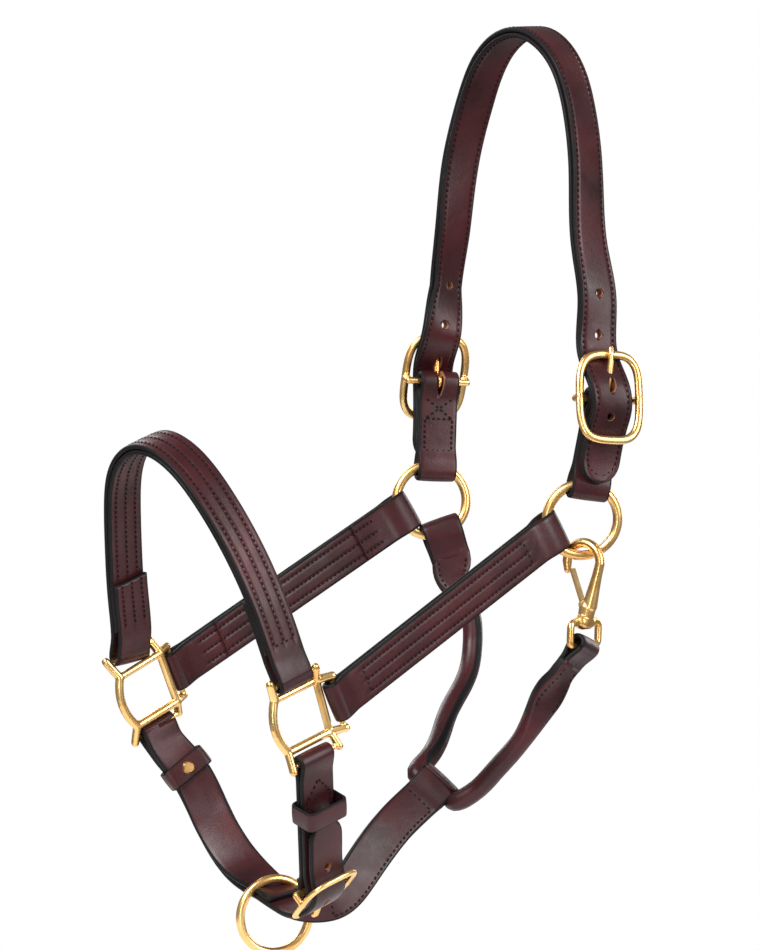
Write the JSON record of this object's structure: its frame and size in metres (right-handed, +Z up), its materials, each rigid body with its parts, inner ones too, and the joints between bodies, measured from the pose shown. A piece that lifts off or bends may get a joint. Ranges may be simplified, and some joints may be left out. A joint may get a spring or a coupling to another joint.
{
  "type": "leather headcollar",
  "caption": "Stitched brown leather headcollar for a horse, with brass buckles, rings, halter squares and a throat snap, buckled up as if worn.",
  "frame": {"origin": "middle of the crown's underside, where it rests on the horse's poll", "axes": "+Z up along the head, nose towards -Y, the horse's left (near) side at +X"},
  "size_m": [0.2065, 0.3232, 0.5676],
  "materials": {
    "strap_leather": "waxed havana bridle leather with a fine grain",
    "lining_leather": "darker softer leather with creases",
    "polished_brass": "polished cast and wire brass"
  },
  "bodies": {
    "straps": {"crown_outer": "strap_leather", "crown_chape_near": "strap_leather", "crown_chape_far": "strap_leather", "cheek_outer_near": "strap_leather", "cheek_outer_far": "strap_leather", "noseband_outer": "strap_leather", "chin_strap": "strap_leather", "chin_chape": "strap_leather", "chin_keeper_far": "strap_leather", "connector_strap": "strap_leather", "throatlatch": "strap_leather", "crown_lining": "lining_leather", "cheek_lining_near": "lining_leather", "cheek_lining_far": "lining_leather", "noseband_lining": "lining_leather", "crown_buckle_near": "polished_brass", "crown_buckle_far": "polished_brass", "halter_square_near": "polished_brass", "halter_square_far": "polished_brass", "chin_buckle": "polished_brass", "keeper_rivet": "polished_brass", "snap_eye": "polished_brass"},
    "crown_tongue_near": {"crown_tongue_near": "polished_brass"},
    "crown_tongue_far": {"crown_tongue_far": "polished_brass"},
    "cheek_ring_near": {"cheek_ring_near": "polished_brass"},
    "cheek_ring_far": {"cheek_ring_far": "polished_brass"},
    "lead_ring": {"lead_ring": "polished_brass"},
    "chin_tongue": {"chin_tongue": "polished_brass"},
    "chin_keeper_near": {"chin_keeper_near": "strap_leather"},
    "snap": {"snap_body": "polished_brass", "snap_gate_pin": "polished_brass"},
    "snap_gate": {"snap_gate": "polished_brass"}
  },
  "joints": [
    {"name": "crown_tongue_near_lift", "type": "hinge", "parent": "straps", "child": "crown_tongue_near", "pos_m": [0.08567, -0.00785, -0.22091], "axis": [0.3346, 0.9394, -0.0742], "range_deg": [0, 8]},
    {"name": "crown_tongue_far_lift", "type": "hinge", "parent": "straps", "child": "crown_tongue_far", "pos_m": [-0.07964, -0.00789, -0.22026], "axis": [-0.3474, -0.9355, 0.0652], "range_deg": [0, 8]},
    {"name": "chin_tongue_lift", "type": "hinge", "parent": "straps", "child": "chin_tongue", "pos_m": [0.053, -0.206, -0.508], "axis": [0.0055, -0.9561, -0.2931], "range_deg": [0, 8]},
    {"name": "cheek_ring_near_turn", "type": "hinge", "parent": "straps", "child": "cheek_ring_near", "pos_m": [0.075, -0.017, -0.2956], "axis": [0.8809, -0.4684, -0.0685], "continuous": true},
    {"name": "cheek_ring_far_turn", "type": "hinge", "parent": "straps", "child": "cheek_ring_far", "pos_m": [-0.075, -0.017, -0.2956], "axis": [-0.8779, 0.4668, -0.1069], "continuous": true},
    {"name": "lead_ring_turn", "type": "hinge", "parent": "straps", "child": "lead_ring", "pos_m": [-0.002, -0.1975, -0.5349], "axis": [0.9659, -0.2588, 0], "continuous": true},
    {"name": "chin_keeper_slide", "type": "slide", "parent": "straps", "child": "chin_keeper_near", "axis": [0.3136, -0.2767, 0.9083], "range_m": [-0.008, 0.008]},
    {"name": "snap_swing", "type": "hinge", "parent": "straps", "child": "snap", "pos_m": [0.07753, -0.01675, -0.35897], "axis": [0.292, -0.955, 0.0528], "range_deg": [-2, 2]},
    {"name": "snap_gate_open", "type": "hinge", "parent": "snap", "child": "snap_gate", "pos_m": [0.07603, -0.01663, -0.34849], "axis": [-0.292, 0.955, -0.0528], "range_deg": [0, 20], "stiffness_Nm_per_rad": 0.05, "springref_deg": -5.73}
  ]
}
